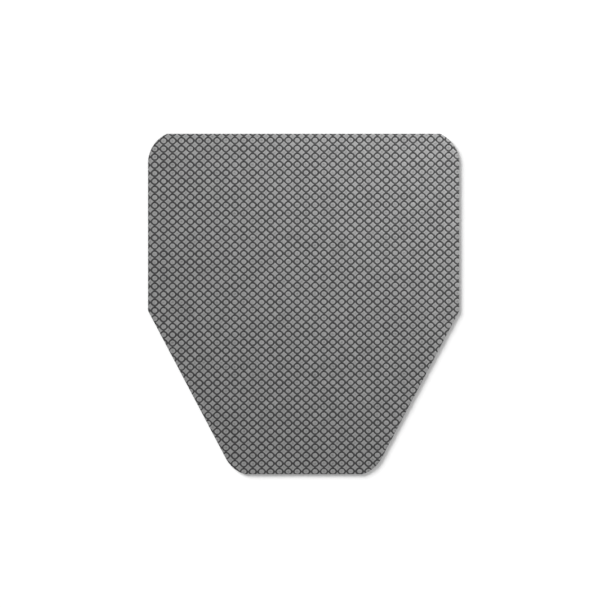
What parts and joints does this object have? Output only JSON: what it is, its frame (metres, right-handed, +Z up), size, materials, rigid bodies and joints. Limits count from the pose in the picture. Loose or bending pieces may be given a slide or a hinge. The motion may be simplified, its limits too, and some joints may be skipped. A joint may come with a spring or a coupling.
{
  "type": "restroom floor mat",
  "caption": "Flat absorbent floor mat with a wide end and a tapered nose, topped by a net of rings and held by self-stick pads under peel-off papers.",
  "frame": {"origin": "on the floor, below the middle of the outline's bounding rectangle", "axes": "+Z up out of the patterned face, +Y towards the wide end, +X to the right seen from above"},
  "size_m": [0.457, 0.5, 0.0041],
  "materials": {
    "net_vinyl": "matte",
    "face_nonwoven": "matte",
    "wicking_nonwoven": "matte",
    "core_fluff": "matte",
    "barrier_film": "satin",
    "adhesive": "satin",
    "release_paper": "satin"
  },
  "bodies": {
    "mat": {"ring_net": "net_vinyl", "face_fleece": "face_nonwoven", "wicking_ply": "wicking_nonwoven", "absorbent_core": "core_fluff", "barrier_film": "barrier_film", "stick_pad_wide_left": "adhesive", "stick_pad_wide_right": "adhesive", "stick_pad_nose_left": "adhesive", "stick_pad_nose_right": "adhesive"},
    "paper_wide_left": {"release_paper_wide_left": "release_paper"},
    "paper_wide_right": {"release_paper_wide_right": "release_paper"},
    "paper_nose_left": {"release_paper_nose_left": "release_paper"},
    "paper_nose_right": {"release_paper_nose_right": "release_paper"}
  },
  "joints": [
    {"name": "peel_wide_left", "type": "slide", "parent": "mat", "child": "paper_wide_left", "axis": [-1, 0, 0], "range_m": [0, 0.12]},
    {"name": "peel_wide_right", "type": "slide", "parent": "mat", "child": "paper_wide_right", "axis": [1, 0, 0], "range_m": [0, 0.12]},
    {"name": "peel_nose_left", "type": "slide", "parent": "mat", "child": "paper_nose_left", "axis": [-1, 0, 0], "range_m": [0, 0.13]},
    {"name": "peel_nose_right", "type": "slide", "parent": "mat", "child": "paper_nose_right", "axis": [1, 0, 0], "range_m": [0, 0.13]}
  ]
}
